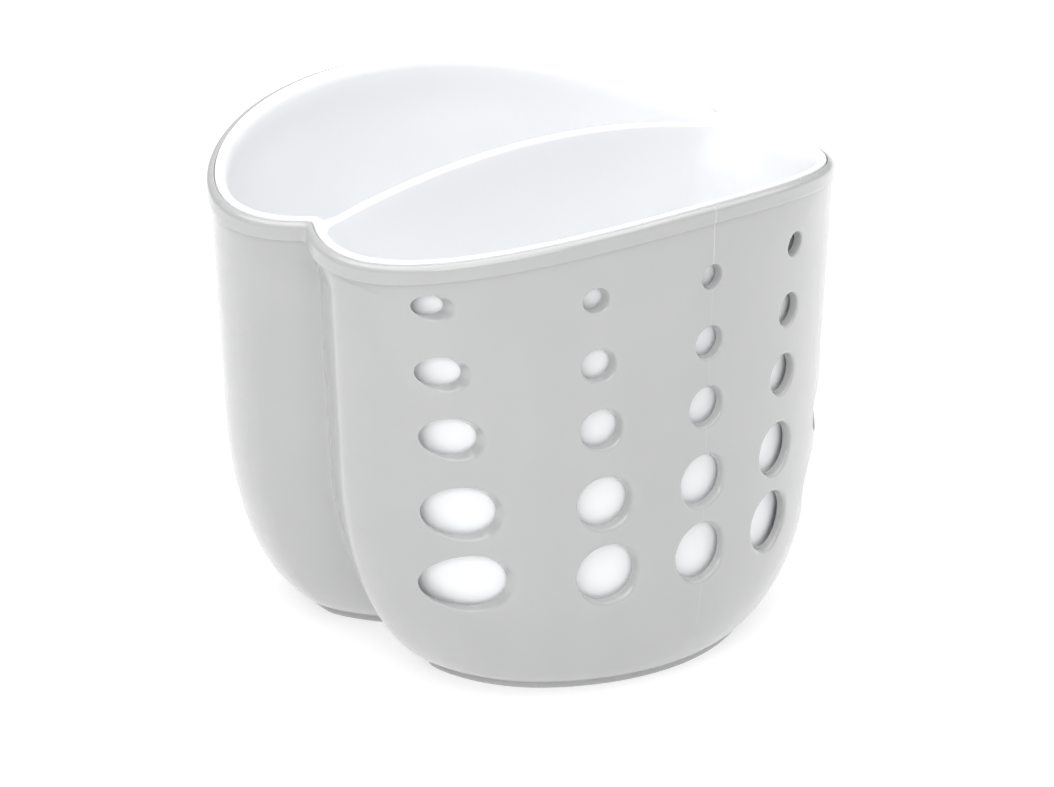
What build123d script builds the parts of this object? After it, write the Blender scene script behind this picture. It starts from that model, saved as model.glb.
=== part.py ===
from build123d import *
import math
import os

# Kitchen sink caddy: a two-lobed, drained outer shell and a white two-compartment liner that drops
# into it. Millimetres, +Z up. The origin is on the resting surface, under the middle of the caddy.
# X runs from one notch to the other, the front lobe is towards -Y and the back lobe towards +Y.

# ---------------------------------------------------------------- driving dimensions
FRONT_REACH = 75.7        # from the middle to the outermost front of the rim bead
RIM_LOW = 119.9           # height of the rim where it crosses x = +-RIM_LOW_X
RIM_LOW_X = 70.0
RIM_ARCH = 9.8           # how much higher the rim is in the middle of the front and back
BEAD_PROUD = 0.45         # the rim bead stands this far outside the wall
BEAD_HEIGHT = 4.0
SHELL_WALL = 2.5
SHELL_FLOOR = 2.4
FOOT_HEIGHT = 1.8         # ring the shell stands on
FOOT_WIDTH = 2.4
FOOT_INSET = 0.6
REBATE_IN = 1.95          # rebate for the liner's flange, measured in from the bead
REBATE_DEPTH = 1.4

# plan outline of one lobe: heading of the wall (0 = across the front) and its radius of curvature
HEADINGS = (0.0, 22.0, 44.0, 62.0, 78.0, 92.0, 104.0, 118.0)
RADII_RIM = (109.7, 83.8, 64.3, 48.2, 38.2, 37.5, 39.3, 42.3)    # a shallow notch between the lobes
RADII_WALL = (95.1, 98.0, 50.0, 53.0, 44.0, 22.0, 12.5, 76.0)    # a deeper one below the rim
NOTCH_BLEND = (107.0, 117.5)       # heights between which one becomes the other

# the wall leans in with depth: straight taper, then a round into the base
SIDE_TAPER = 5.0          # over the full height, at the widest point
SIDE_ROUND = 29.0
SIDE_ROUND_FROM = 0.52    # share of the height where the round starts
FRONT_TAPER = 4.9
FRONT_ROUND = 15.8
FRONT_ROUND_FROM = 0.77
BACK_PULL = 1.08          # the lobe's inner end shrinks a little faster than its sides
LOBE_SPREAD = 0.07        # and its middle moves outwards

# drain holes through the walls, bored front to back: five rows of five in each lobe
HOLE_ROWS = ((111.1, 3.0), (93.6, 4.15), (76.2, 5.2), (55.9, 6.9), (36.1, 7.75))   # height, radius
# each pair of columns: distance from the middle at the height RIM_LOW, share drawn in per mm down
HOLE_COLUMNS = ((0.0, 0.0), (33.3, 0.00232), (66.4, 0.00177))
HOLE_ARCH = 0.9           # the rows sag by this much towards the sides, 66 mm out

# floor drain holes
BASE_HOLES = ((0.0, 40.0), (-22.0, 30.0), (22.0, 30.0), (0.0, 22.0))
BASE_HOLE_R = 4.0
LINER_HOLES = ((0.0, 38.0), (-18.0, 30.0), (18.0, 30.0), (-9.0, 20.0), (9.0, 20.0))
LINER_HOLE_R = 2.2

# liner
LINER_WALL = 1.9
LINER_FLOOR = 2.0
LINER_GAP_TOP = 0.7       # to the inside of the shell, at the rim
LINER_GAP_GROWS = 2.6
LINER_BOTTOM = 8.2        # height of its underside
FLANGE_IN = 2.25          # edge of the flange, measured in from the bead
FLANGE_UNDER = 1.05       # underside below the shell's rim
FLANGE_PROUD = 0.5        # top above the shell's rim
DIVIDER = 2.6
DIVIDER_DROP = 2.7        # ridge below the rim

UNDERSIDE = FOOT_HEIGHT
ARCH_R = (RIM_LOW_X ** 2 + RIM_ARCH ** 2) / (2 * RIM_ARCH)
ARCH_Z = RIM_LOW + RIM_ARCH - ARCH_R


# ---------------------------------------------------------------- plan outline of a lobe
def radius_at(radii, h, end):
    hs = HEADINGS + (180.0,)
    rs = radii + (end,)
    for i in range(len(hs) - 1):
        if h <= hs[i + 1]:
            s = (h - hs[i]) / (hs[i + 1] - hs[i])
            s = s * s * (3 - 2 * s)
            return rs[i] + (rs[i + 1] - rs[i]) * s
    return rs[-1]


def trace(radii, end, steps=720):
    pts = [(0.0, -FRONT_REACH)]
    x, y = pts[0]
    da = math.pi / steps
    for i in range(steps):
        a = (i + 0.5) * da
        r = radius_at(radii, math.degrees(a), end)
        x += r * math.cos(a) * da
        y += r * math.sin(a) * da
        pts.append((x, y))
    return pts


def closed_lobe(radii):
    """The far end of the lobe closes on the middle line."""
    low, high = 20.0, 300.0
    for _ in range(50):
        mid = (low + high) / 2
        if trace(radii, mid)[-1][0] > 0:
            low = mid
        else:
            high = mid
    return trace(radii, mid)


RIM_LOBE = closed_lobe(RADII_RIM)
WALL_LOBE = closed_lobe(RADII_WALL)
STEPS = len(WALL_LOBE) - 1
WIDEST = WALL_LOBE[STEPS // 2]


def notch_share(z):
    """0 where the wall's outline holds, 1 where the rim's does."""
    s = min(1.0, max(0.0, (z - NOTCH_BLEND[0]) / (NOTCH_BLEND[1] - NOTCH_BLEND[0])))
    return s * s * (3 - 2 * s)


def side_inset(t):
    t = max(0.0, t)
    u = max(0.0, (t - SIDE_ROUND_FROM) / (1 - SIDE_ROUND_FROM))
    return SIDE_TAPER * t + SIDE_ROUND * (1 - math.sqrt(max(0.0, 1 - u * u)))


def front_inset(t):
    t = max(0.0, t)
    u = max(0.0, (t - FRONT_ROUND_FROM) / (1 - FRONT_ROUND_FROM))
    return FRONT_TAPER * t + FRONT_ROUND * (1 - math.sqrt(max(0.0, 1 - u * u)))


def lean(f, t):
    e = 0.004
    return math.hypot(1.0, (f(t + e) - f(t - e)) / (2 * e * RIM_LOW))


def section_points(inset, side, front, m, n=44):
    """Closed outline of the front lobe: moved in by inset along its normal, then drawn in."""
    w = WIDEST[0] - inset
    yc = WIDEST[1]
    kx = 1 - side / w
    ky = 1 - front / (FRONT_REACH + yc - inset)
    kb = 1 - (1 - kx) * BACK_PULL
    pts = []
    for i in range(n):
        # start at the far end, so that the seam is outside the finished lobe
        h = -180.0 + 360.0 * i / n
        a = math.radians(abs(h))
        k = abs(h) / 180.0 * STEPS
        j = min(int(k), STEPS - 1)
        f = k - j
        x, y = [(1 - m) * (WALL_LOBE[j][c] * (1 - f) + WALL_LOBE[j + 1][c] * f)
                + m * (RIM_LOBE[j][c] * (1 - f) + RIM_LOBE[j + 1][c] * f) for c in (0, 1)]
        x -= inset * math.sin(a)
        y += inset * math.cos(a)
        if h < 0:
            x = -x
        dy = y - yc
        dy *= ky if dy < 0 else kb
        pts.append((x * kx, yc - LOBE_SPREAD * side + dy))
    return pts


def section(z, inset, side, front):
    pts = [(x, y, z) for x, y in section_points(inset, side, front, notch_share(z))]
    return make_face(Spline(*pts, periodic=True))


def height_share(z):
    return (RIM_LOW - z) / RIM_LOW


def lobe_solid(levels):
    return loft([section(*lv) for lv in levels])


FRONT_HALF = Pos(0, -100, 80) * Box(300, 200, 400)      # everything at y <= 0


def both_lobes(front):
    half = front & FRONT_HALF
    return half + mirror(half, about=Plane.XZ)


def rim_prism(inset, z0, z1):
    f = make_face(Spline(*[(x, y, 0) for x, y in section_points(inset, 0, 0, 1, 60)], periodic=True))
    return both_lobes(Pos(0, 0, z0) * extrude(f, amount=z1 - z0))


def under_arch(dz):
    """Everything below the arched rim moved up by dz."""
    w = 95.0
    zc = ARCH_Z + dz
    ze = zc + math.sqrt(ARCH_R ** 2 - w * w)
    arc = ThreePointArc((-w, 0, ze), (0, 0, zc + ARCH_R), (w, 0, ze))
    rest = Polyline((w, 0, ze), (w, 0, -50), (-w, 0, -50), (-w, 0, ze))
    return extrude(make_face(Wire([arc] + rest.edges())), amount=100, both=True, dir=(0, 1, 0))


# ---------------------------------------------------------------- outer shell
TOP = RIM_LOW + RIM_ARCH + 6
ZS = (TOP, 122.0, 117.5, 114.0, 110.5, 107.0, 98.0, 82.0, 66.0, 53.0, 42.0, 33.0, 25.5, 19.0, 13.5, 9.0, 5.2, UNDERSIDE)
body = both_lobes(lobe_solid([
    (z, BEAD_PROUD, side_inset(height_share(z)), front_inset(height_share(z))) for z in ZS]))

Z_FLOOR = UNDERSIDE + SHELL_FLOOR
ZI = (TOP + 1, 122.0, 117.5, 114.0, 110.5, 107.0, 98.0, 82.0, 66.0, 53.0, 42.0, 33.0, 25.5, 19.0, 13.5, 9.5, 6.4, Z_FLOOR)
void = both_lobes(lobe_solid([
    (z, BEAD_PROUD + SHELL_WALL,
     side_inset(height_share(z)) + SHELL_WALL * (lean(side_inset, height_share(z)) - 1),
     front_inset(height_share(z)) + SHELL_WALL * (lean(front_inset, height_share(z)) - 1)) for z in ZI]))

bead = (rim_prism(0, 60, TOP) & under_arch(0)) - under_arch(-BEAD_HEIGHT)
shell = (body & under_arch(0)) + bead
shell -= void
shell -= rim_prism(REBATE_IN, 60, TOP + 2) - under_arch(-REBATE_DEPTH)

# foot ring
tb = height_share(UNDERSIDE)


def foot(extra):
    s, f = side_inset(tb) + FOOT_INSET + extra, front_inset(tb) + FOOT_INSET + extra
    face = make_face(Spline(*[(x, y, 0) for x, y in section_points(BEAD_PROUD, s, f, 0, 60)], periodic=True))
    return both_lobes(extrude(face, amount=UNDERSIDE + 0.4))


shell += foot(0) - foot(FOOT_WIDTH)

# wall holes, bored along Y
bores = []
for z, r in HOLE_ROWS:
    for col in range(-2, 3):
        out, drawn = HOLE_COLUMNS[abs(col)]
        x = math.copysign(out * (1 - drawn * (RIM_LOW - z)), col)
        for sgn in (-1, 1):
            bores.append(Pos(x, sgn * 65.0, z - HOLE_ARCH * (x / 66.0) ** 2) * Rot(90, 0, 0) * Cylinder(r, 90))
shell -= bores
for x, y in BASE_HOLES:
    for sgn in (-1, 1):
        shell -= Pos(x, sgn * y, 5) * Cylinder(BASE_HOLE_R, 20)

# ---------------------------------------------------------------- liner
SQ = (RIM_LOW - LINER_BOTTOM) / (RIM_LOW - UNDERSIDE)   # its depth against the shell's


def liner_level(z, inward):
    """Outside of the liner at height z (inward = 0), or its inside (inward = the wall)."""
    t = height_share(z)
    ts = t / SQ * (1 if inward == 0 else (RIM_LOW - LINER_BOTTOM) / (RIM_LOW - LINER_BOTTOM - LINER_FLOOR))
    ts = min(ts, height_share(UNDERSIDE))
    gap = LINER_GAP_TOP + LINER_GAP_GROWS * max(0.0, t)
    return (z, BEAD_PROUD + SHELL_WALL + LINER_GAP_TOP + inward,
            side_inset(ts) + gap - LINER_GAP_TOP, front_inset(ts) + gap - LINER_GAP_TOP)


ZL = (TOP + 2, 122.0, 117.5, 112.0, 107.0, 96.0, 81.0, 66.0, 52.5, 41.5, 32.5, 25.0, 19.0, 14.5, 11.0, LINER_BOTTOM)
liner = both_lobes(lobe_solid([liner_level(z, 0) for z in ZL]))
liner = liner & under_arch(FLANGE_PROUD)
liner += (rim_prism(FLANGE_IN, 60, TOP + 2) & under_arch(FLANGE_PROUD)) - under_arch(-FLANGE_UNDER)

ZC = (TOP + 4, 122.0, 117.5, 112.0, 107.0, 96.0, 81.0, 66.0, 52.5, 42.0, 33.5, 26.5, 21.0, 16.6, 13.0, LINER_BOTTOM + LINER_FLOOR)
pocket = lobe_solid([liner_level(z, LINER_WALL) for z in ZC])
front_pocket = pocket & (Pos(0, -100 - DIVIDER / 2, 80) * Box(300, 200, 400))
liner -= front_pocket
liner -= mirror(front_pocket, about=Plane.XZ)
# the divider's ridge is lower than the rim
ridge_cut = rim_prism(BEAD_PROUD + SHELL_WALL + LINER_GAP_TOP + LINER_WALL, 60, TOP + 3)
liner -= ridge_cut - under_arch(-DIVIDER_DROP)
for x, y in LINER_HOLES:
    for sgn in (-1, 1):
        liner -= Pos(x, sgn * y, 10) * Cylinder(LINER_HOLE_R, 20)

# ---------------------------------------------------------------- files
os.makedirs("parts", exist_ok=True)
export_step(shell, "parts/outer_shell.step")
export_step(liner, "parts/liner.step")
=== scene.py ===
import math

import bmesh
import bpy
import numpy as np
from mathutils import Matrix, Vector
from mathutils.geometry import delaunay_2d_cdt


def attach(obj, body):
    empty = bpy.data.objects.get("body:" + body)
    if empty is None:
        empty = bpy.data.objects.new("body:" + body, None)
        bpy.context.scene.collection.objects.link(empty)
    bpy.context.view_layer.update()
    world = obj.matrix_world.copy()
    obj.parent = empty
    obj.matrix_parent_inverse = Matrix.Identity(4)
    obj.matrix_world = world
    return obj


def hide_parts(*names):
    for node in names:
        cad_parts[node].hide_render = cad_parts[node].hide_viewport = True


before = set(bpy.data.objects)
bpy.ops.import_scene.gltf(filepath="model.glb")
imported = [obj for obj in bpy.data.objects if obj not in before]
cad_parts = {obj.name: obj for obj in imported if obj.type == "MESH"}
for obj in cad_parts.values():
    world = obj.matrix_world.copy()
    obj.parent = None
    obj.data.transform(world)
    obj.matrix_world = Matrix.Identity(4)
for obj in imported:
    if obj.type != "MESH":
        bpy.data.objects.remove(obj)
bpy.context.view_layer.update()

# ------------------------------------------------------------------ dimensions, millimetres
FRONT_REACH = 75.7
RIM_LOW = 119.9
RIM_LOW_X = 70.0
RIM_ARCH = 9.8
ARCH_R = (RIM_LOW_X ** 2 + RIM_ARCH ** 2) / (2 * RIM_ARCH)
ARCH_Z = RIM_LOW + RIM_ARCH - ARCH_R
WALL_D = 0.45           # outside of the wall, in from the bead
WALL = 2.5
INNER_D = WALL_D + WALL
UNDERSIDE = 1.8
FLOOR_TOP = UNDERSIDE + 2.4
HEADINGS = (0.0, 22.0, 44.0, 62.0, 78.0, 92.0, 104.0, 118.0)
RADII_RIM = (109.7, 83.8, 64.3, 48.2, 38.2, 37.5, 39.3, 42.3)
RADII_WALL = (95.1, 98.0, 50.0, 53.0, 44.0, 22.0, 12.5, 76.0)
HOLE_ROWS = ((111.1, 3.0), (93.6, 4.15), (76.2, 5.2), (55.9, 6.9), (36.1, 7.75))
HOLE_COLUMNS = ((0.0, 0.0), (33.3, 0.00232), (66.4, 0.00177))
HOLE_ARCH = 0.9
BASE_HOLES = ((0.0, 40.0), (-22.0, 30.0), (22.0, 30.0), (0.0, 22.0))
BASE_HOLE_R = 4.0
LINER_HOLES = ((0.0, 38.0), (-18.0, 30.0), (18.0, 30.0), (-9.0, 20.0), (9.0, 20.0))
LINER_HOLE_R = 2.2
LINER_D = INNER_D + 0.7
POCKET_D = LINER_D + 1.9
LINER_BOTTOM = 8.2
POCKET_FLOOR = 10.2
RIDGE_DROP = 2.7
DIVIDER_HALF = 1.3


# ------------------------------------------------------------------ plan outline of a lobe
def radius_at(radii, h, end):
    hs = HEADINGS + (180.0,)
    rs = radii + (end,)
    for i in range(len(hs) - 1):
        if h <= hs[i + 1]:
            s = (h - hs[i]) / (hs[i + 1] - hs[i])
            s = s * s * (3 - 2 * s)
            return rs[i] + (rs[i + 1] - rs[i]) * s
    return rs[-1]


def trace(radii, end, steps=1440):
    pts = [(0.0, -FRONT_REACH)]
    x, y = pts[0]
    da = math.pi / steps
    for i in range(steps):
        a = (i + 0.5) * da
        r = radius_at(radii, math.degrees(a), end)
        x += r * math.cos(a) * da
        y += r * math.sin(a) * da
        pts.append((x, y))
    return pts


def closed_lobe(radii):
    low, high = 20.0, 300.0
    for _ in range(40):
        mid = (low + high) / 2
        if trace(radii, mid, 360)[-1][0] > 0:
            low = mid
        else:
            high = mid
    return np.array(trace(radii, mid))


RIM_LOBE = closed_lobe(RADII_RIM)
WALL_LOBE = closed_lobe(RADII_WALL)
ANG = np.linspace(0.0, 180.0, len(WALL_LOBE))
WX, WY = WALL_LOBE[len(WALL_LOBE) // 2]


def notch(z):
    """0 where the wall's outline holds, 1 where the rim's shallower notch does."""
    s = np.clip((z - 107.0) / 10.5, 0.0, 1.0)
    return s * s * (3 - 2 * s)


def soft_pos(t):
    return 0.5 * (t + np.sqrt(t * t + 3e-4))


def round_in(t, start):
    u = np.clip((t - start) / (1 - start), 0.0, 0.9999)
    return 1 - np.sqrt(1 - u * u)


def side_inset(t):
    t = soft_pos(t)
    return 5.0 * t + 29.0 * round_in(t, 0.52)


def front_inset(t):
    t = soft_pos(t)
    return 4.9 * t + 15.8 * round_in(t, 0.77)


def share(z):
    return (RIM_LOW - z) / RIM_LOW


def lean(f, t):
    e = 0.004
    return np.hypot(1.0, (f(t + e) - f(t - e)) / (2 * e * RIM_LOW))


def sec(d, side, front, h, m):
    a = np.abs(h)
    x = (1 - m) * np.interp(a, ANG, WALL_LOBE[:, 0]) + m * np.interp(a, ANG, RIM_LOBE[:, 0])
    y = (1 - m) * np.interp(a, ANG, WALL_LOBE[:, 1]) + m * np.interp(a, ANG, RIM_LOBE[:, 1])
    r = np.radians(a)
    x = x - d * np.sin(r)
    y = y + d * np.cos(r)
    kx = 1 - side / (WX - d)
    ky = 1 - front / (FRONT_REACH + WY - d)
    kb = 1 - (1 - kx) * 1.08
    dy = y - WY
    dy = dy * np.where(dy < 0, ky, kb)
    return np.sign(h) * x * kx, WY - 0.07 * side + dy


def cross_heading(d, side, front, m, level=0.0):
    """Heading at which the section reaches y = level on its way back."""
    shape = np.broadcast(d, side, front, m, level).shape
    a = np.full(shape, 90.0)
    b = np.full(shape, 179.0)
    for _ in range(34):
        c = (a + b) / 2
        y = sec(d, side, front, c, m)[1]
        a = np.where(y < level, c, a)
        b = np.where(y < level, b, c)
    return (a + b) / 2


# arc length along the bead, as a share of the way from the front to the notch
_hc = float(cross_heading(0.0, 0.0, 0.0, 1.0))
_h = np.linspace(0.0, _hc, 2001)
_x, _y = sec(0.0, 0.0, 0.0, np.maximum(_h, 1e-9), 1.0)
_s = np.concatenate([[0.0], np.cumsum(np.hypot(np.diff(_x), np.diff(_y)))])
HALF_RUN = float(_s[-1])
U_TAB, G_TAB = _s / _s[-1], _h / _hc


def g_of(u):
    return np.interp(np.abs(u), U_TAB, G_TAB)


def g_inv(g):
    return np.interp(g, G_TAB, U_TAB)


def cusp_round(d, side, front, hc, x, y, a, m):
    """Rounds the notch, where the two lobes meet."""
    x2, y2 = sec(d, side, front, hc - 1.5, m)
    x1, y1 = sec(d, side, front, hc, m)
    g = np.abs(x2 - x1) / np.maximum(1e-6, np.abs(y2 - y1))
    k = np.clip(a - np.abs(y), 0.0, None)
    return x + np.sign(x) * g * k * k / (2 * a)


def zrim(x):
    return ARCH_Z + np.sqrt(ARCH_R ** 2 - np.minimum(np.abs(x), 90.0) ** 2)


class Skin:
    def __init__(self, d, side, front, a=1.6, m=notch):
        self.d, self.side, self.front, self.a, self.m = d, side, front, a, m

    def at_u(self, u, z):
        s, f, m = self.side(z), self.front(z), self.m(z)
        hc = cross_heading(self.d, s, f, m)
        h = np.where(u < 0, -1.0, 1.0) * np.maximum(1e-7, g_of(u) * hc)
        x, y = sec(self.d, s, f, h, m)
        x = cusp_round(self.d, s, f, hc, x, y, self.a, m)
        y = np.where(np.abs(np.abs(u) - 1) < 1e-9, 0.0, y)
        return x, y

    def u_of_x(self, x, z):
        s, f, m = self.side(z), self.front(z), self.m(z)
        shape = np.broadcast(x, z).shape
        a = np.zeros(shape)
        b = np.full(shape, 90.0)
        ax = np.abs(x)
        for _ in range(34):
            c = (a + b) / 2
            xx = sec(self.d, s, f, np.maximum(c, 1e-9), m)[0]
            a = np.where(xx < ax, c, a)
            b = np.where(xx < ax, b, c)
        hc = cross_heading(self.d, s, f, m)
        return np.where(x < 0, -1.0, 1.0) * g_inv((a + b) / 2 / hc)

    def y_of(self, x, z):
        u = self.u_of_x(x, z)
        return self.at_u(u, z)[1]


# ------------------------------------------------------------------ mesh collector
class Soup:
    def __init__(self):
        self.v, self.f, self.n = [], [], 0

    def grid(self, p, wrap=False):
        rows, cols = p.shape[:2]
        base = self.n
        self.v.append(p.reshape(-1, 3))
        self.n += rows * cols
        r = np.arange(rows - 1)[:, None]
        c = np.arange(cols if wrap else cols - 1)[None, :]
        c2 = (c + 1) % cols
        q = np.stack([base + r * cols + c, base + r * cols + c2,
                      base + (r + 1) * cols + c2, base + (r + 1) * cols + c], axis=-1)
        self.f.extend(q.reshape(-1, 4).tolist())

    def both(self, p, wrap=False):
        self.grid(p, wrap)
        self.grid(p * np.array([1.0, -1.0, 1.0]), wrap)

    def flat(self, outer, holes, z):
        """Fills a level outline with holes in it."""
        pts, edges = [], []
        for loop in [outer] + holes:
            b = len(pts)
            pts += [Vector((float(a[0]), float(a[1]))) for a in loop]
            edges += [(b + i, b + (i + 1) % len(loop)) for i in range(len(loop))]
        vs, _, fs, *_rest = delaunay_2d_cdt(pts, edges, [], 0, 1e-7)
        vs = np.array([(q.x, q.y) for q in vs])
        base = self.n
        self.v.append(np.column_stack([vs, np.full(len(vs), z)]))
        self.n += len(vs)
        for f in fs:
            c = vs[list(f)].mean(axis=0)
            if inside(c, outer) and not any(inside(c, h) for h in holes):
                self.f.append([base + i for i in f])

    def mesh(self, name):
        me = bpy.data.meshes.new(name)
        v = np.concatenate(self.v) * 0.001
        bm = bmesh.new()
        verts = [bm.verts.new(p) for p in v.tolist()]
        for f in self.f:
            try:
                bm.faces.new([verts[i] for i in f])
            except ValueError:
                pass
        bmesh.ops.remove_doubles(bm, verts=bm.verts, dist=4e-6)
        bmesh.ops.dissolve_degenerate(bm, dist=1e-6, edges=bm.edges)
        bmesh.ops.recalc_face_normals(bm, faces=bm.faces)
        open_edges = sum(1 for e in bm.edges if len(e.link_faces) != 2)
        print("MESH", name, "faces", len(bm.faces), "open or shared edges", open_edges, "volume cm3", round(bm.calc_volume(signed=True) * 1e6, 1))
        for f in bm.faces:
            f.smooth = True
        bm.to_mesh(me)
        bm.free()
        ob = bpy.data.objects.new(name, me)
        bpy.context.scene.collection.objects.link(ob)
        return ob


def inside(c, loop):
    x, y = c
    p = np.asarray(loop)
    q = np.roll(p, -1, axis=0)
    cond = (p[:, 1] > y) != (q[:, 1] > y)
    with np.errstate(divide="ignore", invalid="ignore"):
        xs = p[:, 0] + (y - p[:, 1]) * (q[:, 0] - p[:, 0]) / (q[:, 1] - p[:, 1])
    return bool(np.count_nonzero(cond & (x < xs)) % 2)


def arc(cd, cz, r, a0, a1, n):
    return [(cd + r * math.cos(math.radians(a)), cz + r * math.sin(math.radians(a))) for a in np.linspace(a0, a1, n)]


def ring_xy(cx, cy, r, n=40):
    a = np.linspace(0, 2 * np.pi, n, endpoint=False)
    return np.column_stack([cx + r * np.cos(a), cy + r * np.sin(a)])


def floor_hole(soup, cx, cy, r, z_low, z_high, e=0.35):
    """A round hole through a level floor, with eased edges. Returns its mouth loop's radius."""
    prof = [(r + e - e * math.sin(b), z_low + e - e * math.cos(b)) for b in np.linspace(0, math.pi / 2, 5)]
    prof += [(r + e - e * math.cos(b), z_high - e + e * math.sin(b)) for b in np.linspace(0, math.pi / 2, 5)]
    rows = []
    for rr, z in prof:
        xy = ring_xy(cx, cy, rr)
        rows.append(np.column_stack([xy, np.full(len(xy), z)]))
    soup.grid(np.array(rows), wrap=True)
    return ring_xy(cx, cy, r + e)


# ------------------------------------------------------------------ outer shell
outer = Skin(WALL_D, lambda z: side_inset(share(z)), lambda z: front_inset(share(z)), a=1.9)
inner = Skin(INNER_D,
             lambda z: side_inset(share(z)) + WALL * (lean(side_inset, share(z)) - 1),
             lambda z: front_inset(share(z)) + WALL * (lean(front_inset, share(z)) - 1), a=1.2)

NT, NS, NSIDE, NR = 18, 10, 14, 7
Z_LINES = (None, 102.8, 85.4, 66.8, 46.0, 24.5)
EASE, FLARE = 1.2, 0.35


def column_x(i, z):
    """How far out hole column i (0..4) runs at height z."""
    out, drawn = HOLE_COLUMNS[abs(i - 2)]
    return out * (1 - drawn * (RIM_LOW - z))


_rz = np.array([z for z, r in HOLE_ROWS][::-1])
_rr = np.array([r for z, r in HOLE_ROWS][::-1])


def u_border(skin, i, z):
    """Cell borders between hole columns, i = 0..5 from left to right."""
    z = np.asarray(z, float)
    zq = np.clip(z, 24.5, 125.0)
    sgn = -1.0 if i < 3 else 1.0
    if i in (0, 5):
        xe = column_x(0, zq) + np.interp(zq, _rz, _rr) + 1.8
        return sgn * (skin.u_of_x(xe, zq) + 1) / 2
    between = (column_x(2, zq) + column_x(1, zq)) / 2 if i in (2, 3) else (column_x(1, zq) + column_x(0, zq)) / 2
    return skin.u_of_x(sgn * between, zq)


def z_top(u):
    h = np.where(u < 0, -1.0, 1.0) * np.maximum(1e-7, g_of(u) * _hc)
    x, y = sec(0.0, 0.0, 0.0, h, 1.0)
    return zrim(x) - 5.0


def corner_u(skin, i, k):
    """u and z of a lattice corner."""
    if Z_LINES[k] is not None:
        z = Z_LINES[k]
        return float(u_border(skin, i, z)), z
    z = 117.0
    for _ in range(6):
        u = float(u_border(skin, i, z))
        z = float(z_top(np.array(u)))
    return u, z


def side_line(skin, i, k):
    """Border i between lines k and k + 1: NS + 1 points from the upper to the lower."""
    u0, z0 = corner_u(skin, i, k)
    u1, z1 = corner_u(skin, i, k + 1)
    z = np.linspace(z0, z1, NS + 1)
    u = u_border(skin, i, z)
    u[0], u[-1] = u0, u1
    return np.column_stack([u, z])


def level_line(skin, i, k):
    """Line k between borders i and i + 1: NT + 1 points from left to right."""
    u0, z0 = corner_u(skin, i, k)
    u1, z1 = corner_u(skin, i + 1, k)
    u = np.linspace(u0, u1, NT + 1)
    z = z_top(u) if Z_LINES[k] is None else np.full(NT + 1, Z_LINES[k])
    z[0], z[-1] = z0, z1
    return np.column_stack([u, z])


def cell_border(skin, i, k):
    top = level_line(skin, i, k)
    right = side_line(skin, i + 1, k)
    bottom = level_line(skin, i, k + 1)[::-1]
    left = side_line(skin, i, k)[::-1]
    return np.concatenate([top[:-1], right[:-1], bottom[:-1], left[:-1]])


def surf(skin, uz):
    x, y = skin.at_u(uz[..., 0], uz[..., 1])
    return np.stack([x, y, uz[..., 1]], axis=-1)


def hole_mouth(skin, xc, zc, r, phi, ease):
    """Points on the skin round a bore, and its corner."""
    c, s = np.cos(phi), np.sin(phi)
    y0 = skin.y_of(xc + r * c, zc + r * s)
    y1 = skin.y_of(xc + (r + 0.05) * c, zc + (r + 0.05) * s)
    slope = (y1 - y0) / 0.05
    e = ease / np.sqrt(1 + slope ** 2)
    x, z = xc + (r + e) * c, zc + (r + e) * s
    u = skin.u_of_x(x, z)
    p0 = np.stack([x, skin.at_u(u, z)[1], z], axis=-1)
    corner = np.stack([xc + r * c, y0, zc + r * s], axis=-1)
    return u, z, p0, corner


def hole_patch(i, k):
    zc, r = HOLE_ROWS[k]
    xc = math.copysign(float(column_x(i, zc)), i - 2)
    zc -= HOLE_ARCH * (xc / 66.0) ** 2
    bo = cell_border(outer, i, k)
    uc = float(outer.u_of_x(np.array(xc), zc))
    h = 0.4
    stretch = float(abs(outer.u_of_x(np.array(xc + h), zc) - outer.u_of_x(np.array(xc - h), zc))) * HALF_RUN / (2 * h)
    phi = np.arctan2((bo[:, 1] - zc) * stretch, (bo[:, 0] - uc) * HALF_RUN)
    rows = []
    ease = EASE * (0.45 + 0.55 * (r - 3.0) / 4.75)
    u, z, p0, cn = hole_mouth(outer, xc, zc, r + FLARE, phi, ease)
    ui, zi, q0, qn = hole_mouth(inner, xc, zc, r - 0.3, phi, 0.35)
    # the bore narrows inwards
    way = (qn - cn) / np.linalg.norm(qn - cn, axis=-1, keepdims=True)
    p1, q1 = cn + way * ease, qn - way * 0.35
    target = np.column_stack([u, z])
    for w in (0.0, 0.3, 0.56, 0.77, 0.92):
        rows.append(surf(outer, bo * (1 - w) + target * w))
    for w in np.linspace(0, 1, 8):
        rows.append((1 - w) ** 2 * p0 + 2 * w * (1 - w) * cn + w * w * p1)
    bi = cell_border(inner, i, k)
    for w in (0.5,):
        rows.append(p1 * (1 - w) + q1 * w)
    for w in np.linspace(1, 0, 4):
        rows.append((1 - w) ** 2 * q0 + 2 * w * (1 - w) * qn + w * w * q1)
    target = np.column_stack([ui, zi])
    for w in (0.85, 0.6, 0.3, 0.0):
        rows.append(surf(inner, bi * (1 - w) + target * w))
    return np.array(rows)


shell = Soup()
for i in range(5):
    for k in range(5):
        shell.both(hole_patch(i, k), wrap=True)


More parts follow.
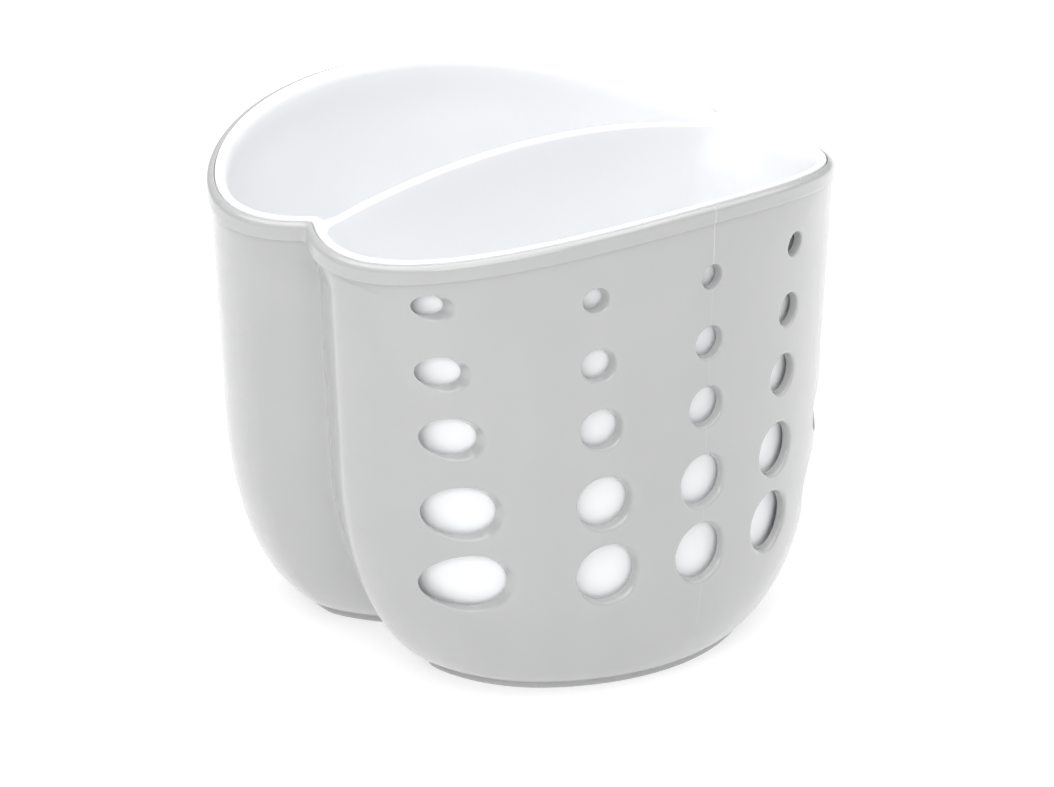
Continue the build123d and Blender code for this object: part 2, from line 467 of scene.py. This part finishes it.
def side_strip(skin, right):
    """Wall between the outermost hole column and the notch."""
    rows = []
    for k in range(5):
        line = side_line(skin, 5 if right else 0, k)
        rows.append(line if k == 4 else line[:-1])
    line = np.concatenate(rows)
    w = 1 - (1 - np.linspace(0, 1, NSIDE + 1)) ** 1.5
    sgn = 1.0 if right else -1.0
    u = line[:, :1] * (1 - w) + sgn * w
    # the top row follows the bead, so z changes along it
    z = np.repeat(line[:, 1:], NSIDE + 1, axis=1)
    lift = z_top(u[0]) - z[0]
    n = NS + 1
    fade = np.clip(1 - np.arange(len(line)) / (n - 1), 0, 1)[:, None]
    z = z + fade * lift[None, :]
    return np.stack([u, z], axis=-1)


for skin in (outer, inner):
    for right in (False, True):
        shell.both(surf(skin, side_strip(skin, right)))


def u_run(skin, k):
    """All of line k, from notch to notch."""
    left = side_strip(skin, False)
    right = side_strip(skin, True)
    row = 0 if k == 0 else -1
    mid = [level_line(skin, i, k) for i in range(5)]
    mid = [m[:-1] for m in mid[:-1]] + [mid[-1]]
    return np.concatenate([left[row][::-1][:-1], *mid, right[row][1:]])


# below the holes, down to the base
def lower_wall(skin, z_end):
    run = u_run(skin, 5)
    t = np.linspace(0, 1, 34)
    z = Z_LINES[5] + (z_end - Z_LINES[5]) * (1 - (1 - t) ** 1.35)
    u = np.repeat(run[None, :, 0], len(z), axis=0)
    return surf(skin, np.stack([u, np.repeat(z[:, None], len(run), axis=1)], axis=-1))


shell.both(lower_wall(outer, UNDERSIDE))
low_in = lower_wall(inner, FLOOR_TOP)
shell.both(low_in)


def base_row(extra, z, run):
    s = float(side_inset(share(UNDERSIDE))) + extra
    f = float(front_inset(share(UNDERSIDE))) + extra
    sk = Skin(WALL_D, lambda q: s + 0 * q, lambda q: f + 0 * q, a=1.2, m=lambda q: 0 * q)
    x, y = sk.at_u(run, np.full(run.shape, z))
    return np.column_stack([x, y, np.full(len(x), z)])


run5 = u_run(outer, 5)[:, 0]
foot = [(0.0, 1.8), (0.2, 1.74), (0.42, 1.7), (0.55, 1.62), (0.6, 1.45), (0.6, 0.9), (0.6, 0.35), (0.68, 0.12), (0.9, 0.0),
        (1.8, 0.0), (2.7, 0.0), (2.92, 0.12), (3.0, 0.35), (3.0, 1.5), (3.08, 1.72), (3.3, 1.8), (3.7, 1.8)]
# the body's own last row is the first of these
s0 = outer.at_u(run5, np.full(run5.shape, UNDERSIDE))
rows = [np.column_stack([s0[0], s0[1], np.full(len(run5), UNDERSIDE)])]
rows += [base_row(e, z, run5) for e, z in foot[1:]]
shell.both(np.array(rows))


def figure8(row):
    """Closed plan loop from a front half row and its mirror image."""
    a = row[:, :2]
    b = (row * np.array([1.0, -1.0, 1.0]))[::-1][1:-1, :2]
    return np.concatenate([a, b])


holes_low, holes_high = [], []
for x, y in BASE_HOLES:
    for sgn in (-1, 1):
        loop = floor_hole(shell, x, sgn * y, BASE_HOLE_R, UNDERSIDE, FLOOR_TOP, 0.45)
        holes_low.append(loop)
        holes_high.append(loop)
shell.flat(figure8(rows[-1]), holes_low, UNDERSIDE)
# a level ring just inside the inner wall's foot, then the floor
edge = low_in[-1]
s_in, f_in = float(inner.side(FLOOR_TOP)), float(inner.front(FLOOR_TOP))
run5i = u_run(inner, 5)[:, 0]
sk = Skin(INNER_D, lambda q: s_in + 0.8 + 0 * q, lambda q: f_in + 0.8 + 0 * q, a=1.2, m=lambda q: 0 * q)
xr, yr = sk.at_u(run5i, np.full(run5i.shape, FLOOR_TOP))
ring = np.column_stack([xr, yr, np.full(len(xr), FLOOR_TOP)])
shell.both(np.array([edge, ring]))
shell.flat(figure8(ring), holes_high, FLOOR_TOP)

# rim: from the wall out round the bead, over the top, down the rebate and across its ledge
run0 = u_run(outer, 0)
run0i = u_run(inner, 0)
prof = [(WALL_D, -4.75)]
prof += arc(WALL_D - 0.2, -4.5, 0.2, 0, 90, 4)
prof += arc(0.25, -4.05, 0.25, 270, 180, 6)
prof += [(0.0, -3.4), (0.0, -2.7), (0.0, -2.0)]
prof += arc(1.4, -1.4, 1.4, 180, 90, 13)
prof += [(1.6, 0.0)]
prof += arc(1.75, -0.2, 0.2, 90, 0, 5)
prof += [(1.95, -0.75)]
prof += arc(2.15, -1.2, 0.2, 180, 270, 4)
prof += [(2.45, -1.4)]
prof += arc(INNER_D - 0.25, -1.65, 0.25, 90, 0, 4)
prof += [(INNER_D, -2.8)]
rows = [surf(outer, run0)]
for n, (d, dz) in enumerate(prof):
    w = n / (len(prof) - 1)
    u = run0[:, 0] * (1 - w) + run0i[:, 0] * w
    sk = Skin(d, lambda q: 0 * q, lambda q: 0 * q, a=1.9 if d < 2.4 else 1.2, m=lambda q: 0 * q + 1)
    x, y = sk.at_u(u, np.full(u.shape, 120.0))
    z = zrim(x) + dz
    if d in (WALL_D, INNER_D):
        ref = outer if d == WALL_D else inner
        x, y = ref.at_u(u, z)
        z = zrim(x) + dz
    rows.append(np.column_stack([x, y, z]))
rows.append(surf(inner, run0i))
shell.both(np.array(rows))
shell_ob = shell.mesh("outer_shell_body")

# ------------------------------------------------------------------ liner
def l_gap(z):
    return 0.6 * soft_pos(share(z)) - 0.005


def floor_fillet(z):
    q = np.clip(1 - (z - POCKET_FLOOR) / 7.0, 0.0, 0.995)
    return 4.0 * (1 - np.sqrt(1 - q * q))


OFF_OUT, OFF_IN = WALL + 0.7, WALL + 0.7 + 1.9
l_out = Skin(LINER_D,
             lambda z: side_inset(share(z)) + OFF_OUT * (lean(side_inset, share(z)) - 1) + l_gap(z),
             lambda z: front_inset(share(z)) + OFF_OUT * (lean(front_inset, share(z)) - 1) + l_gap(z), a=1.6)
l_in = Skin(POCKET_D,
            lambda z: side_inset(share(z)) + OFF_IN * (lean(side_inset, share(z)) - 1) + l_gap(z) + floor_fillet(z),
            lambda z: front_inset(share(z)) + OFF_IN * (lean(front_inset, share(z)) - 1) + l_gap(z) + floor_fillet(z), a=1.6)

NV, NF, ND, NW = 50, 8, 44, 150
ROLL_A, ROLL_B = 2.6, 5.0
RHO = 1.25
VV = (np.arange(NV + 1) / NV) ** 1.55
Q = 1 - np.cos(np.arange(NF + 1) / NF * np.pi / 2)
SM = lambda q: q * q * (3 - 2 * q)


def pocket_z(v, x, rho=0.0):
    return POCKET_FLOOR + (zrim(x) - RIDGE_DROP - rho - POCKET_FLOOR) * v


def roll(dz):
    """How far the pocket's wall leans out towards the rounded rim."""
    q = np.clip((dz + ROLL_B - 0.5) / ROLL_B, 0.0, 1.0)
    return ROLL_A * (1 - np.sqrt(1 - q * q))


def wall_pt(h, v):
    """Pocket wall at heading h and height share v."""
    zc = pocket_z(v, 61.0)
    x0 = sec(l_in.d, l_in.side(zc), l_in.front(zc), h, notch(zc))[0]
    z = pocket_z(v, x0)
    x, y = sec(l_in.d - roll(z - zrim(x0)), l_in.side(z), l_in.front(z), h, notch(z))
    return np.stack([x, y, z + 0 * x], axis=-1)


zc = pocket_z(VV, 61.0)
above = zc - POCKET_FLOOR
YD = DIVIDER_HALF + 0.55 * (1 - VV)
RF = 6.0
YD = YD + np.where(above < RF, RF - np.sqrt(np.maximum(0.0, RF * RF - (RF - np.minimum(above, RF)) ** 2)), 0.0)
side_c, front_c = l_in.side(zc), l_in.front(zc)
HK = cross_heading(l_in.d, side_c, front_c, notch(zc), -YD)
TAN = 4.4 + 2.0 * (1 - VV)
# heading where the wall is TAN away from the corner
kx, ky_ = sec(l_in.d, side_c, front_c, HK, notch(zc))
a, b = np.full(HK.shape, 60.0), HK.copy()
for _ in range(34):
    c = (a + b) / 2
    px, py = sec(l_in.d, side_c, front_c, c, notch(zc))
    far = np.hypot(px - kx, py - ky_) > TAN
    a = np.where(far, c, a)
    b = np.where(far, b, c)
HT = (a + b) / 2

liner = Soup()
grad = np.linspace(-1, 1, NW + 1)
frac = np.sign(grad) * g_of(grad) / g_of(1.0)
wall_rows, path_rows = [], []
for k, v in enumerate(VV):
    h = HT[k] * frac
    h = np.where(np.abs(h) < 1e-6, 1e-6, h)
    wall_rows.append(wall_pt(h, v))
    T = wall_pt(np.array([HT[k]]), v)[0]
    K = wall_pt(np.array([HK[k]]), v)[0].copy()
    K[1] = -YD[k]
    P = K.copy()
    P[0] -= TAN[k]
    # rational quadratic through T, K, P
    ta, tb = K[:2] - T[:2], P[:2] - K[:2]
    turn = math.acos(np.clip(np.dot(ta, tb) / (np.linalg.norm(ta) * np.linalg.norm(tb)), -1, 1))
    wt = math.cos(turn / 2)
    s = np.linspace(0, 1, NF + 1)[:, None]
    den = (1 - s) ** 2 + 2 * wt * s * (1 - s) + s ** 2
    fil = ((1 - s) ** 2 * T[:2] + 2 * wt * s * (1 - s) * K[:2] + s ** 2 * P[:2]) / den
    xs = P[0] * (1 - 2 * np.arange(1, ND) / ND)
    right_to_left = np.concatenate([fil, np.column_stack([xs, np.full(ND - 1, -YD[k])]), (fil * np.array([-1, 1]))[::-1]])
    rho = RHO * np.concatenate([SM(s[:, 0]), np.ones(ND - 1), SM(s[:, 0])[::-1]])
    z = pocket_z(v, right_to_left[:, 0], rho)
    path_rows.append(np.column_stack([right_to_left, z]))
    path_rows[-1][0] = T
    path_rows[-1][-1] = T * np.array([-1, 1, 1])
wall_rows, path_rows = np.array(wall_rows), np.array(path_rows)
liner.both(wall_rows)
liner.both(path_rows)

# pocket floor
loop0 = np.concatenate([wall_rows[0], path_rows[0][1:-1]])
cen = np.array([0.0, loop0[:, 1].mean(), POCKET_FLOOR])
ringf = cen + (loop0 - cen) * 0.97
liner.both(np.array([loop0, ringf]), wrap=True)
lh = []
for x, y in LINER_HOLES:
    for sgn in (-1, 1):
        lp = floor_hole(liner, x, sgn * y, LINER_HOLE_R, LINER_BOTTOM, POCKET_FLOOR, 0.4)
        lh.append((sgn, lp))
liner.flat(ringf[:, :2], [lp for sgn, lp in lh if sgn < 0], POCKET_FLOOR)
liner.flat(ringf[:, :2] * np.array([1, -1]), [lp for sgn, lp in lh if sgn > 0], POCKET_FLOOR)

# columns of the rim: notch to the corner, along the wall, corner to notch
D_RIDGE = POCKET_D - float(roll(-RIDGE_DROP))
HCR = float(cross_heading(D_RIDGE, l_in.side(np.array(119.6)), l_in.front(np.array(119.6)), 1.0))
HT1 = HT[-1]


def rim_headings(hc):
    """Headings of all the rim's columns on a section whose notch is at hc."""
    k = hc / HCR
    q = HT1 + (HCR - HT1) * Q
    w = HT1 * frac
    w = np.where(np.abs(w) < 1e-6, 1e-6, w)
    return k * np.concatenate([-q[::-1][:-1], w, q[1:]])


def rim_row(d, dz, side=0.0, front=0.0, a=1.6):
    s, f = np.float64(side), np.float64(front)
    hc = cross_heading(d, s, f, 1.0)
    h = rim_headings(hc)
    x, y = sec(d, s, f, h, 1.0)
    x = cusp_round(d, s, f, hc, x, y, a, 1.0)
    y[0] = y[-1] = 0.0
    return np.column_stack([x, y, zrim(x) + dz])


# the first row is the wall's top row, with the notch corners added
top = wall_rows[-1]


def notch_row(v_or_dz):
    h = HT1 + (HCR - HT1) * Q
    zz = np.full(h.shape, 119.6)
    s, f = l_in.side(zz), l_in.front(zz)
    x, y = sec(D_RIDGE, s, f, h, 1.0)
    x = cusp_round(D_RIDGE, s, f, np.full(h.shape, HCR), x, y, 1.6, 1.0)
    y[-1] = 0.0
    return np.column_stack([x, y, zrim(x) - RIDGE_DROP])


nr = notch_row(0)
nr[0] = top[-1]
first = np.concatenate([(nr * np.array([-1, 1, 1]))[::-1][:-1], top, nr[1:]])
t0 = math.asin((ROLL_B - 0.5 - RIDGE_DROP) / ROLL_B)
prof = [(POCKET_D - ROLL_A * (1 - math.cos(t)), 0.5 - ROLL_B + ROLL_B * math.sin(t)) for t in np.linspace(t0, math.pi / 2, 16)[1:]]
prof += arc(2.85, -0.1, 0.6, 90, 180, 8)
prof += [(2.25, -0.45)]
prof += arc(2.5, -0.8, 0.25, 180, 270, 4)
prof += [(2.9, -1.05)]
prof += arc(LINER_D - 0.25, -1.3, 0.25, 90, 0, 4)
rows = [first] + [rim_row(d, dz) for d, dz in prof]
# outside of the body
hb = None
for v in np.linspace(1, 0, 50) ** 1.35:
    x0 = rows[-1][:, 0]
    z = LINER_BOTTOM + (zrim(x0) - 1.9 - LINER_BOTTOM) * v
    for _ in range(3):
        s, f, m = l_out.side(z), l_out.front(z), notch(z)
        hc = cross_heading(l_out.d, s, f, m)
        h = rim_headings(1.0) * hc
        x, y = sec(l_out.d, s, f, h, m)
        x = cusp_round(l_out.d, s, f, hc, x, y, 1.6, m)
        z = LINER_BOTTOM + (zrim(x) - 1.9 - LINER_BOTTOM) * v
    y[0] = y[-1] = 0.0
    rows.append(np.column_stack([x, y, z]))
liner.both(np.array(rows))
last = rows[-1]
c8 = np.array([0.0, 0.0, LINER_BOTTOM])
inner_ring = c8 + (last - c8) * 0.975
liner.both(np.array([last, inner_ring]))
liner.flat(figure8(inner_ring), [lp for sgn, lp in lh], LINER_BOTTOM)

# ridge of the divider
edge = path_rows[-1]
ncol = len(edge)
wj = np.concatenate([np.arange(NF + 1) / NF, np.ones(ND - 1), (np.arange(NF + 1) / NF)[::-1]])
sg = np.concatenate([np.ones(NF + 1 + (ND - 1) // 2 + 1), -np.ones(ncol - (NF + 1 + (ND - 1) // 2 + 1))])
rho = RHO * SM(wj)
xcusp = nr[-1][0]
pd = abs(edge[NF][0])
mx = np.where(wj < 1, sg * (xcusp * (1 - SM(wj)) + pd * SM(wj)), edge[:, 0])
ridge = []
for q in Q:
    x = edge[:, 0] * (1 - q) + mx * q
    y = edge[:, 1] * (1 - q)
    dist = q * np.hypot(mx - edge[:, 0], edge[:, 1])
    base = zrim(x) - RIDGE_DROP
    rr = np.maximum(rho, 1e-9)
    k = np.clip(rr - dist, 0, None)
    z = base - rr + np.sqrt(np.maximum(0, rr * rr - k * k))
    ridge.append(np.column_stack([x, y, z]))
ridge = np.array(ridge)
ridge[0] = edge
ridge[:, 0] = nr
ridge[:, -1] = nr * np.array([-1, 1, 1])
liner.both(ridge)
liner.v = [q + np.array([-0.18, -0.05, 0.0]) for q in liner.v]
liner_ob = liner.mesh("liner_body")


# ------------------------------------------------------------------ materials
def new_material(name):
    m = bpy.data.materials.new(name)
    m.use_nodes = True
    nt = m.node_tree
    bsdf = next(n for n in nt.nodes if n.type == "BSDF_PRINCIPLED")
    return m, nt, bsdf


def node(nt, kind, **values):
    n = nt.nodes.new(kind)
    for key, val in values.items():
        if key in n.inputs:
            n.inputs[key].default_value = val
        else:
            setattr(n, key, val)
    return n


def math_node(nt, op, a, b=None):
    n = nt.nodes.new("ShaderNodeMath")
    n.operation = op
    for i, q in enumerate((a, b)):
        if q is None:
            continue
        if isinstance(q, (int, float)):
            n.inputs[i].default_value = q
        else:
            nt.links.new(q, n.inputs[i])
    return n.outputs[0]


def ramp(nt, fac, stops):
    n = nt.nodes.new("ShaderNodeValToRGB")
    cr = n.color_ramp
    while len(cr.elements) < len(stops):
        cr.elements.new(0.5)
    for e, (p, c) in zip(cr.elements, stops):
        e.position = p
        e.color = (*c, 1.0)
    nt.links.new(fac, n.inputs[0])
    return n.outputs[0]


def noise(nt, vec, scale, detail=3.0, rough=0.5):
    n = nt.nodes.new("ShaderNodeTexNoise")
    n.inputs["Scale"].default_value = scale
    n.inputs["Detail"].default_value = detail
    n.inputs["Roughness"].default_value = rough
    nt.links.new(vec, n.inputs["Vector"])
    return n.outputs["Fac"]


# pale grey, slightly milky moulded plastic
shell_mat, nt, bs = new_material("shell_grey_plastic")
tc = nt.nodes.new("ShaderNodeTexCoord")
obj = tc.outputs["Object"]
sep = nt.nodes.new("ShaderNodeSeparateXYZ")
nt.links.new(obj, sep.inputs[0])
cloud = noise(nt, obj, 38.0, 3.0, 0.55)
flow_map = nt.nodes.new("ShaderNodeMapping")
flow_map.inputs["Scale"].default_value = (1.0, 1.0, 0.22)
nt.links.new(obj, flow_map.inputs["Vector"])
flow = noise(nt, flow_map.outputs[0], 70.0, 2.0, 0.5)
mix_n = math_node(nt, "ADD", math_node(nt, "MULTIPLY", cloud, 0.6), math_node(nt, "MULTIPLY", flow, 0.4))
body_col = ramp(nt, mix_n, [(0.3, (0.436, 0.440, 0.439)), (0.5, (0.450, 0.454, 0.453)), (0.7, (0.464, 0.468, 0.467))])
# fine flow line where the melt met, up the middle of the front
ax = math_node(nt, "ABSOLUTE", sep.outputs["X"])
wob = noise(nt, obj, 260.0, 2.0, 0.5)
line = math_node(nt, "SUBTRACT", 1.0, math_node(nt, "DIVIDE", ax, 0.00022))
line = math_node(nt, "MAXIMUM", line, 0.0)
front = math_node(nt, "LESS_THAN", sep.outputs["Y"], -0.070)
above = math_node(nt, "GREATER_THAN", sep.outputs["Z"], 0.1135)
strong = math_node(nt, "MULTIPLY", math_node(nt, "MULTIPLY", line, front), math_node(nt, "ADD", math_node(nt, "MULTIPLY", above, 0.36), math_node(nt, "MULTIPLY", wob, 0.24)))
mixc = nt.nodes.new("ShaderNodeMix")
mixc.data_type = "RGBA"
nt.links.new(strong, mixc.inputs["Factor"])
nt.links.new(body_col, mixc.inputs["A"])
mixc.inputs["B"].default_value = (0.80, 0.81, 0.82, 1.0)
nt.links.new(mixc.outputs["Result"], bs.inputs["Base Color"])
rr = nt.nodes.new("ShaderNodeMapRange")
rr.inputs["To Min"].default_value = 0.20
rr.inputs["To Max"].default_value = 0.28
nt.links.new(noise(nt, obj, 55.0, 4.0, 0.6), rr.inputs["Value"])
nt.links.new(rr.outputs[0], bs.inputs["Roughness"])
b1 = nt.nodes.new("ShaderNodeBump")
b1.inputs["Strength"].default_value = 0.10
b1.inputs["Distance"].default_value = 0.0004
nt.links.new(noise(nt, obj, 60.0, 2.0, 0.45), b1.inputs["Height"])
b2 = nt.nodes.new("ShaderNodeBump")
b2.inputs["Strength"].default_value = 0.35
b2.inputs["Distance"].default_value = 0.00008
nt.links.new(strong, b2.inputs["Height"])
nt.links.new(b1.outputs[0], b2.inputs["Normal"])
nt.links.new(b2.outputs[0], bs.inputs["Normal"])
bs.inputs["Subsurface Weight"].default_value = 0.25
bs.inputs["IOR"].default_value = 1.4
bs.inputs["Coat Weight"].default_value = 0.65
bs.inputs["Coat Roughness"].default_value = 0.03
bs.inputs["Coat IOR"].default_value = 1.65
bs.inputs["Subsurface Radius"].default_value = (1.0, 1.0, 1.0)
bs.inputs["Subsurface Scale"].default_value = 0.002

# glossy white moulded plastic
liner_mat, nt, bs = new_material("liner_white_plastic")
tc = nt.nodes.new("ShaderNodeTexCoord")
obj = tc.outputs["Object"]
c = noise(nt, obj, 30.0, 3.0, 0.5)
col = ramp(nt, c, [(0.3, (0.887, 0.897, 0.913)), (0.7, (0.895, 0.905, 0.920))])
nt.links.new(col, bs.inputs["Base Color"])
rr = nt.nodes.new("ShaderNodeMapRange")
rr.inputs["To Min"].default_value = 0.38
rr.inputs["To Max"].default_value = 0.46
nt.links.new(noise(nt, obj, 45.0, 4.0, 0.6), rr.inputs["Value"])
nt.links.new(rr.outputs[0], bs.inputs["Roughness"])
b1 = nt.nodes.new("ShaderNodeBump")
b1.inputs["Strength"].default_value = 0.08
b1.inputs["Distance"].default_value = 0.0004
nt.links.new(noise(nt, obj, 50.0, 2.0, 0.45), b1.inputs["Height"])
nt.links.new(b1.outputs[0], bs.inputs["Normal"])
bs.inputs["IOR"].default_value = 1.49
bs.inputs["Subsurface Weight"].default_value = 0.25
bs.inputs["Subsurface Radius"].default_value = (1.0, 1.0, 1.0)
bs.inputs["Subsurface Scale"].default_value = 0.002

for ob, mat, cad, body, slot_name in ((shell_ob, shell_mat, "outer_shell", "shell", "shell_plastic"),
                                      (liner_ob, liner_mat, "liner", "liner_insert", "liner_plastic")):
    ob.data.materials.append(mat)
    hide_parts(cad)
    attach(ob, body)

# ------------------------------------------------------------------ floor, light, camera
floor_mat, nt, bs = new_material("studio_floor")
tc = nt.nodes.new("ShaderNodeTexCoord")
f = noise(nt, tc.outputs["Object"], 3.0, 2.0, 0.5)
nt.links.new(ramp(nt, f, [(0.3, (0.45, 0.45, 0.45)), (0.7, (0.47, 0.47, 0.47))]), bs.inputs["Base Color"])
bs.inputs["Roughness"].default_value = 0.9
bs.inputs["Specular IOR Level"].default_value = 0.1
bs.inputs["Emission Color"].default_value = (1.0, 1.0, 1.0, 1.0)
bs.inputs["Emission Strength"].default_value = 0.62
bm = bmesh.new()
bmesh.ops.create_grid(bm, x_segments=8, y_segments=8, size=6.0)
me = bpy.data.meshes.new("studio_floor")
bm.to_mesh(me)
bm.free()
floor = bpy.data.objects.new("studio_floor", me)
bpy.context.scene.collection.objects.link(floor)
floor.data.materials.append(floor_mat)

world = bpy.data.worlds.new("studio")
bpy.context.scene.world = world
world.use_nodes = True
bg = next(n for n in world.node_tree.nodes if n.type == "BACKGROUND")
bg.inputs["Color"].default_value = (1.0, 1.0, 1.0, 1.0)
bg.inputs["Strength"].default_value = 0.30


def soft_light(name, loc, target, size, size_y, power):
    data = bpy.data.lights.new(name, "AREA")
    data.shape = "RECTANGLE"
    data.size, data.size_y = size, size_y
    data.energy = power
    ob = bpy.data.objects.new(name, data)
    ob.location = loc
    ob.rotation_euler = (Vector(target) - Vector(loc)).to_track_quat("-Z", "Y").to_euler()
    bpy.context.scene.collection.objects.link(ob)
    return ob


soft_light("ceiling", (-0.2, 0.1, 1.8), (0.0, 0.0, 0.08), 3.0, 3.0, 60.0)
soft_light("key", (-0.93, -0.84, 0.85), (0.0, 0.0, 0.06), 1.4, 0.32, 7.0)
soft_light("fill", (1.3, -0.5, 1.1), (0.0, 0.0, 0.06), 1.4, 1.0, 6.5)

cam_data = bpy.data.cameras.new("camera")
cam = bpy.data.objects.new("camera", cam_data)
bpy.context.scene.collection.objects.link(cam)
right = Vector((0.7742, -0.6329, 0.0)).normalized()
back = Vector((-0.5888, -0.7203, 0.3669)).normalized()
up = back.cross(right).normalized()
loc = right * 1.331 + up * -58.22 + back * 1211.2
loc = (loc + Vector((0.0, 0.0, RIM_LOW))) * 0.001
cam.matrix_world = Matrix.Translation(loc) @ Matrix((
    (right.x, up.x, back.x, 0.0), (right.y, up.y, back.y, 0.0), (right.z, up.z, back.z, 0.0), (0.0, 0.0, 0.0, 1.0)))
cam_data.sensor_fit = "HORIZONTAL"
cam_data.sensor_width = 36.0
cam_data.lens = 4689.8 * 36.0 / 1054.0
cam_data.clip_start = 0.01
cam_data.clip_end = 50.0
bpy.context.scene.camera = cam
bpy.context.scene.view_settings.view_transform = "Standard"
